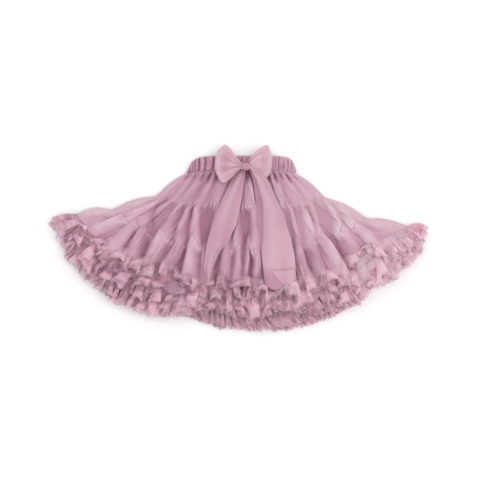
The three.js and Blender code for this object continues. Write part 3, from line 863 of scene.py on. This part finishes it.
BACKS = {
    "yoke_back": {"top": "band_bottom", "bottom": "yoke_seam", "puff": 5, "seed": 61},
    "middle_tier_back": {"top": "yoke_seam", "bottom": "middle_seam", "puff": 6, "seed": 67},
    "lower_tier_back": {"top": "middle_seam", "bottom": "back_stitch", "puff": 6, "seed": 71},
}
BACK_CREASES = {"count": 26, "height": 0.55}


def build_backs():
    """The back's panels lie pressed flat on the surface, with only low creases on their upper side."""
    for name, panel in BACKS.items():

        def place(u, v, panel=panel):
            t = 2 * u - 1
            top_x, top_y = seam_point(panel["top"], t)
            low_x, low_y = seam_point(panel["bottom"], t)
            x = mix(top_x, low_x, v)
            y = mix(top_y, low_y, v) + panel["puff"] * np.abs(t) ** 9 * np.sin(math.pi * v)
            crease = flute(BACK_CREASES["count"] * u + 0.5 * noise_line(u * 12, panel["seed"]), 0.3)
            uneven = 0.6 + 0.4 * noise_sheet(u * 20, v * 2, panel["seed"] + 1)
            z = BACK_WALL / 2 + BACK_CREASES["height"] * crease * uneven
            # painted shade: paler on the creases' crests, darker between them
            return np.stack([x, y, z], axis=1), np.clip(0.5 + 0.4 * crease, 0, 1), 0

        yield sheet_piece(name + "_cloth", 320, 12, place, WALLS["tier"], TULLE, [name])


def build_frills():
    for frill in FRILLS:
        material = CROWN if frill["petals"] == 0 else FRILL
        yield sheet_piece(frill["name"], frill["columns"], frill["rows"], partial(frill_point, frill),
                          WALLS["frill"], material, ["hem_frill_" + frill["panel"]])


# The casing's gathers and the small ones between them: how many and how high. middle is the casing's height
# at the middle of the front, and roll how far it is rounded.
CASING = {"gathers": 24, "high": 1.9, "small": 61, "small_high": 0.35, "middle": 6.6, "roll": 1.6}


def band_line(t, v):
    """The waistband seen from above: its ends swell out and its top corners are round."""
    top_x, top_y = seam_point("band_top", t)
    low_x, low_y = seam_point("band_bottom", t)
    straight = np.where(t < 0, -17, 13.5) * np.abs(np.sin(SEAM_TURN * t))
    x = mix(top_x, low_x, v) + straight * (1 - v) + 1.5 * np.sign(t) * np.abs(t) ** 5 * np.sin(math.pi * v)
    y = mix(top_y, low_y, v) - np.where(t < 0, 25 * np.abs(t) ** 7, 22 * np.abs(t) ** 9) * (1 - v)
    return x, y


def build_waistband():
    def front(u, v):
        t = 2 * u - 1
        x, y = band_line(t, v)
        turns = CASING["gathers"] * u + 0.8 * noise_line(u * 14, 41)
        strength = 0.75 + 0.5 * noise_line(turns, 42)
        casing = 1 - 0.45 * np.abs(2 * v - 1) ** 5
        small = flute(CASING["small"] * u + 0.6 * noise_line(u * 40, 43), 0.3)
        gather = CASING["high"] * strength * flute(turns + 0.06 * np.sin(5 * v + 9 * u), 0.22) * casing
        gather = gather + CASING["small_high"] * small
        edge = 1 - np.abs(t) ** 8
        roll = CASING["roll"] * (1 - np.abs(2 * v - 1) ** 2.5)
        drop = (1 - side_fall(t)) * 3
        z = CASING["middle"] - drop + edge * gather + roll
        z = z - 2.2 * ease((0.12 - v) / 0.12)
        on_yoke = FRONT_REST + SEAMS["band_bottom"]["lift"] * side_fall(t) + 0.6 + 0.5 * gather * edge
        z = mix(z, on_yoke, ease((v - 0.9) / 0.1))
        # painted shade and light: paler on the gathers' crests and towards the right, where the light falls
        return np.stack([x, y, z], axis=1), np.clip(0.45 + gather / 3.2 + 0.32 * t, 0, 1), 0

    def back(u, v):
        x, y = band_line(2 * u - 1, v)
        crease = flute(CASING["gathers"] * u, 0.3)
        z = BACK_WALL + 0.9 * crease * np.sin(math.pi * mix(0.1, 0.9, v))
        # painted shade: paler on the creases' crests
        return np.stack([x, y, z], axis=1), 0.5 + 0.4 * crease, 0

    wall = WALLS["band"]
    yield sheet_piece("waistband_front_cloth", 420, 20, front, wall, BAND, ["waistband_front"])
    yield sheet_piece("waistband_back_cloth", 200, 8, back, wall, BAND, ["waistband_back"])


# The bow
# Half a loop's width at the knot, how far its upper and its lower layer stand off its middle, and how far
# they do at the knot
LOOP = {"knot_half": 5, "swell": 8.2, "under": 5, "pinch": 1.7}
LOOPS = by_name({
    "name": ["bow_loop_left", "bow_loop_right"],
    # the side of the knot, how far the loop reaches from it, and how far its end is drawn in above
    # and below the middle
    "side": [-1, 1],
    "reach": [55, 48],
    "tip_up": [15, 9],
    "tip_down": [12, 14],
    # half its width at the end, how far it rises, and how soon its upper half is wide
    "tip_half": [34, 31],
    "rise": [4.5, 7],
    "wide": [0.9, 0.3],
    # how far its lower half sinks, and how pale it is painted, the right loop paler as painted light from the
    # right
    "droop": [0, 4],
    "painted_shade": [0.74, 0.97],
    "seed": [81, 87],
})


def loop_point(loop, u, v):
    """One loop: v runs up the ribbon's width, u from the knot along the underside and back on top."""
    side = loop["side"]
    turn = math.pi * u
    out = np.sin(turn) ** 0.8
    top = u > 0.5
    crown = 1 - 0.3 * np.abs(v) ** 4
    tip_back = np.where(v > 0, loop["tip_up"], loop["tip_down"])
    reach = loop["reach"] - tip_back * np.abs(v) ** 2.4 + 1.2 * noise_line(v * 3 + 9, loop["seed"])
    low = 2 * LOOP["knot_half"] * v / KNOT["height"]
    start = KNOT["width"] / 2 * np.sqrt(np.clip(1 - low * low, 0, 1)) - 2.5
    away = mix(start, reach, out)
    half = mix(LOOP["knot_half"], loop["tip_half"], ease(out / 0.95) ** mix(0.9, loop["wide"], ease(2 * v)))
    swell = LOOP["pinch"] + np.where(top, LOOP["swell"], LOOP["under"]) * np.sin(turn) * (1 - 0.35 * v * v)
    radial = flute(1.7 * v + 0.5 * noise_line(v * 2, loop["seed"] + 1) + 0.35, 0.45)
    crease = 2.0 * radial * hump(out / 0.6) * (0.7 + 0.3 * noise_line(v * 5, loop["seed"] + 2))
    rim = 1.6 * hump((out - 0.93) / 0.09) - 2.6 * hump((out - 0.62) / 0.2) * (1 - v * v)
    soft = 0.5 * noise_sheet(away / 16, v * 2.2, loop["seed"] + 3)
    x = KNOT["x"] + side * away
    y = KNOT["y"] + loop["rise"] * out + half * v
    z = KNOT["z"] + 0.6 - swell * crown * np.cos(turn)
    z = z + (crease + soft) * np.where(top, 1, 0.4) + np.where(top, rim, 0)
    z = z - loop["droop"] * ease(-v / 0.8) * ease(out / 0.6)
    # painted shade and light: paler on the crease crests and the rim, darker in the dip inside it
    return np.stack([x, y, z], axis=1), np.clip(loop["painted_shade"] + crease / 4 + (rim + soft) / 5, 0, 1), 0


def build_bow():
    for name, loop in LOOPS.items():

        def place(u, v, loop=loop):
            return loop_point(loop, v, loop["side"] * (2 * u - 1))

        yield sheet_piece(name + "_cloth", 56, 110, place, WALLS["loop"], SASH, [name])


# Tails: where each crosses the garment, with down counting tiers from the band, its middle and half its
# width, how far it climbs over the frills, and the share of the width, from the left edge, that is turned
# under and lies lower.
TAILS = {
    "bow_tail_left": {
        "down": [-0.12, 0.12, 0.83, 1.44, 1.9, 2.2, 2.6, 2.93],
        "middle": [4, 0.5, -14, -27, -39.5, -50, -56.5, -56.5],
        "half": [5, 9.5, 17, 21.5, 18.5, 12, 8, 1.2],
        "climb": [0, 0, 0, 0, 0, 2, 8, 9],
        "fold": [0] * 8,
    },
    "bow_tail_right": {
        "down": [-0.12, 0.29, 0.55, 0.9, 1.4, 1.9, 2.35, 2.82, 3.0],
        "middle": [19, 35.5, 41, 47.5, 55.5, 63.5, 69, 71.5, 72.5],
        "half": [5.5, 12.5, 15.5, 19, 24, 28, 29.5, 28.5, 25],
        "climb": [7, 8, 3.5, 0, 0, 0, 2, 9, 11],
        "fold": [0.1, 0.25, 0.28, 0.3, 0.2, 0.08, 0, 0, 0],
    },
}

# point is how far the tail's end reaches down, tongue where that is across it, top its height over the band,
# then how pale it is painted, the right tail paler as painted light from the right, and how dark the painted
# shade below the knot is.
TAIL_FACTS = {
    "bow_tail_left": {"seed": 91, "point": 3, "tongue": 0.5, "top": 3.4, "painted_shade": 0.42, "knot_shadow_depth": 1},
    "bow_tail_right": {"seed": 95, "point": 11, "tongue": 0.3, "top": 4.2, "painted_shade": 0.62, "knot_shadow_depth": 0.3},
}

# How high a tail lies over the ground of the tiers, over their folds, and how far its middle bulges
TAIL_REST = {"tiers": 5.0, "folds": 0.9, "belly": 2.3}

# How much lower its turned-under edge lies on the yoke, and how much more on the tiers below
TURNED = {"yoke": 3.2, "tiers": 1.8}


def over_front(x, down):
    """The front's ground under points x across and a number of tiers down."""
    tiers = list(TIERS.values())
    points = np.zeros((len(x), 3))
    for which, tier in enumerate(tiers):
        here = np.clip(np.floor(down), 0, 2) == which
        if not here.any():
            continue
        v = down[here] - which
        t = np.zeros(here.sum())
        for _ in range(16):
            t = t + (x[here] - tier_ground(tier, t, v, False)[:, 0]) / mix(170, 450, down[here] / 3)
        points[here] = tier_ground(tier, t, v, False)
    return points


def tail_point(name, u, v, above=0.0):
    """A tail of the bow: u across the ribbon, v down it. above lifts things that lie on it."""
    table = TAILS[name]
    facts = TAIL_FACTS[name]
    seed = facts["seed"]
    downs = table["down"]
    down = mix(downs[0], downs[-1], v)

    def column(key):
        return np.interp(down, downs, table[key])

    half = column("half")
    side = 2 * u - 1
    points = over_front(column("middle") + half * side, np.clip(down, -0.2, len(TIERS)))
    over_tiers = mix(facts["top"] - 0.6, TAIL_REST["tiers"], ease(down / 1.4))
    swell = np.where(down < 0, facts["top"], over_tiers)
    crease = flute(1.5 * u + 0.35 * noise_line(v * 2.4, seed) + 0.3, 0.45)
    crease = crease * (0.55 + 0.45 * noise_sheet(u * 3, v * 3, seed + 1))
    streak = 0.35 * flute(9 * u + 0.8 * noise_line(v * 2, seed + 4), 0.4) * noise_sheet(u * 5, v * 2, seed + 5)
    soft = 0.6 * noise_sheet(u * 3 + 0.4 * v, v * 4, seed + 2)
    pinched = 1.1 * flute(3 * u + 0.2, 0.3) * np.exp(-np.clip(down, 0, None) / 0.35)
    turned = column("fold")
    under = ease((turned - u) / 0.1 + 0.5) * ease(turned / 0.1)
    height = TAIL_REST["folds"] + swell + column("climb") + TAIL_REST["belly"] * (1 - side * side)
    height = height + 1.5 * crease * ease(half / 14) + soft + streak + pinched
    height = height - (TURNED["yoke"] + TURNED["tiers"] * ease((down - 0.7) / 0.3)) * under
    points[:, 2] += height + above
    tongue = hump((u - facts["tongue"]) / 0.3) + 0.45 * hump((u - 0.9) / 0.16)
    points[:, 1] -= facts["point"] * ease((v - 0.9) / 0.1) * tongue
    # painted shade: darker below the knot and on the turned-under edge, paler on the creases' crests
    painted_knot_shadow = 0.5 * hump((down - 0.04) / 0.09)
    painted_shade = facts["painted_shade"] + 0.2 * crease + soft / 6 - 0.5 * under - painted_knot_shadow * facts["knot_shadow_depth"]
    return points, np.clip(painted_shade, 0, 1), 0


def build_tails():
    for name in TAILS:
        yield sheet_piece(name + "_cloth", 44, 150, partial(tail_point, name), WALLS["tail"], SASH,
                          [name])


# The right tail's hem: where its stitches cross the tail's length, and how high its layers lie on it
HEM = {"stitches": 0.885, "turned_up": 0.9, "corner": 1.7, "thread": 1.75}


def build_tail_hem():
    """The right tail's hem: the turned-up cloth, and its corner folded over."""

    def turned_up(u, v):
        down = mix(HEM["stitches"] - 0.012, 0.997, v)
        points, painted_shade, free = tail_point("bow_tail_right", mix(0.03, 0.97, u), down, HEM["turned_up"])
        # painted shade on the left part of the turned-up hem
        return points, painted_shade - 0.5 * ease(1.1 - u) * ease((v - 0.05) / 0.4), free

    def corner(u, v):
        across = mix(mix(0.22, 0.6, v), mix(0.97, 0.93, v), u)
        return tail_point("bow_tail_right", across, mix(HEM["stitches"] + 0.005, 0.99, v), HEM["corner"])

    yield sheet_piece("tail_hem_fold", 40, 14, turned_up, WALLS["fold"], SASH, ["bow_tail_right"])
    yield sheet_piece("tail_corner_fold", 30, 14, corner, WALLS["fold"], SASH, ["bow_tail_right"])


# The tiers down between which the inner fold hangs, where its middle starts and ends, half its width and how
# high it lies
INNER_FOLD = {"from": 0.03, "to": 1.12, "start": 12.5, "end": 26, "half": 4.2, "rest": 3.4}


def build_inner_fold():
    """The narrow end of ribbon that hangs between the tails, down to a point."""

    def place(u, v):
        fold = INNER_FOLD
        down = mix(fold["from"], fold["to"], v)
        middle = mix(fold["start"], fold["end"], v ** 0.9)
        half = fold["half"] * np.sin(math.pi * np.clip(mix(0.28, 0.99, v), 0, 1)) ** 0.8
        side = 2 * u - 1
        points = over_front(middle + half * side, down)
        height = fold["rest"] + 1.5 * (1 - side * side) - 1.2 * np.abs(side) * (side < 0)
        points[:, 2] += height - 2.2 * ease((0.15 - v) / 0.15)
        # painted shade: darkest at its top under the knot and on its left, paler further down
        return points, 0.25 * side * ease(v / 0.3) + 0.9 * ease((v - 0.1) / 0.35), 0

    # dressed in the sash's cloth in painted shade
    yield sheet_piece("bow_inner_fold", 12, 60, place, WALLS["tail"], SHADED, ["bow_knot"])


def stitch_line(name, points, width, material, nodes):
    """A row of short stitches, each a small closed bar from one point of the line to the next."""
    deselect_all()
    made = []
    for start, end in zip(points[::2], points[1::2]):
        middle = (start + end) / 2000 + LAYOUT
        along = (end - start) / 1000
        bpy.ops.mesh.primitive_cylinder_add(vertices=8, radius=width / 2000, depth=float(np.linalg.norm(along)),
                                            location=middle.tolist())
        bar = bpy.context.object
        bar.rotation_euler = Vector(along).to_track_quat("Z", "Y").to_euler()
        made.append(bar)
    for bar in made:
        bar.select_set(True)
    bpy.context.view_layer.objects.active = made[0]
    bpy.ops.object.join()
    piece = bpy.context.object
    bpy.ops.object.transform_apply(location=True, rotation=True, scale=True)
    piece.name = name
    piece.data.name = name
    dress(piece, material, nodes)


STITCHES = 19
STITCH_WIDTH = 0.7


def build_stitches():
    """The stitches that hold the right tail's hem."""
    across = np.linspace(0.05, 0.95, 2 * STITCHES)
    down = np.full(2 * STITCHES, HEM["stitches"] + 0.002)
    points, _, _ = tail_point("bow_tail_right", across, down, HEM["thread"])
    stitch_line("tail_stitches", points, STITCH_WIDTH, THREAD, ["bow_tail_right"])


KNOT_CLOTH = (1.02, 0.76, 0.9)  # the size of the knot's cloth as a share of its width, height and depth


def build_knot():
    """The knot: the sash pulled tight round itself, with creases from side to side."""
    deselect_all()
    bpy.ops.mesh.primitive_uv_sphere_add(segments=64, ring_count=40, radius=1)
    piece = bpy.context.object
    piece.name = "bow_knot_cloth"
    mesh = piece.data
    mesh.name = piece.name
    flat = np.empty(len(mesh.vertices) * 3, dtype=np.float32)
    mesh.vertices.foreach_get("co", flat)
    ball = flat.reshape(-1, 3).astype(float)
    around = np.arctan2(ball[:, 0], ball[:, 2])
    crease = flute(1.9 * ball[:, 1] + 0.3 * np.sin(2 * around) + 0.2 * ball[:, 0], 0.3)
    grown = 1 + 0.06 * crease * (1 - ball[:, 1] ** 4) + 0.03 * np.sin(3 * around + 1)
    squared = np.sign(ball) * np.abs(ball) ** 0.8
    half = np.array([KNOT["width"], KNOT["height"], KNOT["depth"]]) * KNOT_CLOTH / 2
    points = squared * grown[:, None] * half + np.array([KNOT["x"], KNOT["y"] - 0.5, KNOT["z"] + 0.6])
    points[:, 1] -= 1.6 * (1 - ball[:, 0] ** 2) * (ball[:, 2] > 0) * ball[:, 2]
    mesh.vertices.foreach_set("co", (points / 1000 + LAYOUT).astype(np.float32).ravel())
    # painted shade in the knot's creases, paler on their crests
    mark_points(mesh, "ridge", np.clip(0.15 + 0.25 * crease, 0, 1))
    mesh.polygons.foreach_set("use_smooth", np.ones(len(mesh.polygons), dtype=bool))
    mesh.update()
    dress(piece, SASH, ["bow_knot"])


for maker in (build_waistband, build_tiers, build_backs, build_frills, build_bow, build_tails, build_tail_hem,
              build_inner_fold):
    for made in maker():
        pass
build_knot()
build_stitches()


# Floor, light and camera, in metres and watts
FLOOR = {"size": 6, "height": -0.0006}
CAMERA_HEIGHT = 3.0
VIEW_WIDTH = 0.864  # how much of the floor the camera sees from side to side
SENSOR_WIDTH = 36


def build_stage():
    deselect_all()
    bpy.ops.mesh.primitive_plane_add(size=FLOOR["size"], location=(0, 0, FLOOR["height"]))
    floor = bpy.context.object
    floor.name = "floor"
    paper = bpy.data.materials.new("white_paper")
    paper.use_nodes = True
    surface = paper.node_tree.nodes["Principled BSDF"]
    surface.inputs["Base Color"].default_value = (0.98, 0.98, 0.98, 1)
    surface.inputs["Roughness"].default_value = 0.9
    floor.data.materials.append(paper)


def area_light(name, place, size, power, colour):
    data = bpy.data.lights.new(name, "AREA")
    data.shape = "DISK"
    data.size = size
    data.energy = power
    data.color = colour
    lamp = bpy.data.objects.new(name, data)
    bpy.context.collection.objects.link(lamp)
    lamp.location = place
    lamp.rotation_euler = (-lamp.location).to_track_quat("-Z", "Y").to_euler()


def build_light_and_camera():
    world = bpy.data.worlds.new("studio")
    bpy.context.scene.world = world
    world.use_nodes = True
    sky = world.node_tree.nodes["Background"]
    sky.inputs["Color"].default_value = (1, 0.985, 0.99, 1)
    sky.inputs["Strength"].default_value = 0.885
    area_light("key", place=(1.7, 0.2, 2.2), size=2.8, power=22, colour=(1, 0.97, 0.96))
    area_light("fill", place=(-1.2, 1.4, 1.6), size=1.4, power=8, colour=(0.96, 0.97, 1))
    camera_data = bpy.data.cameras.new("camera")
    camera = bpy.data.objects.new("camera", camera_data)
    bpy.context.collection.objects.link(camera)
    camera.location = (LAYOUT[0], LAYOUT[1], CAMERA_HEIGHT + 0.02)
    camera.rotation_euler = (0, 0, 0)
    camera_data.sensor_width = SENSOR_WIDTH
    camera_data.lens = SENSOR_WIDTH * CAMERA_HEIGHT / VIEW_WIDTH
    bpy.context.scene.camera = camera
    bpy.context.scene.view_settings.view_transform = "Standard"


build_stage()
build_light_and_camera()
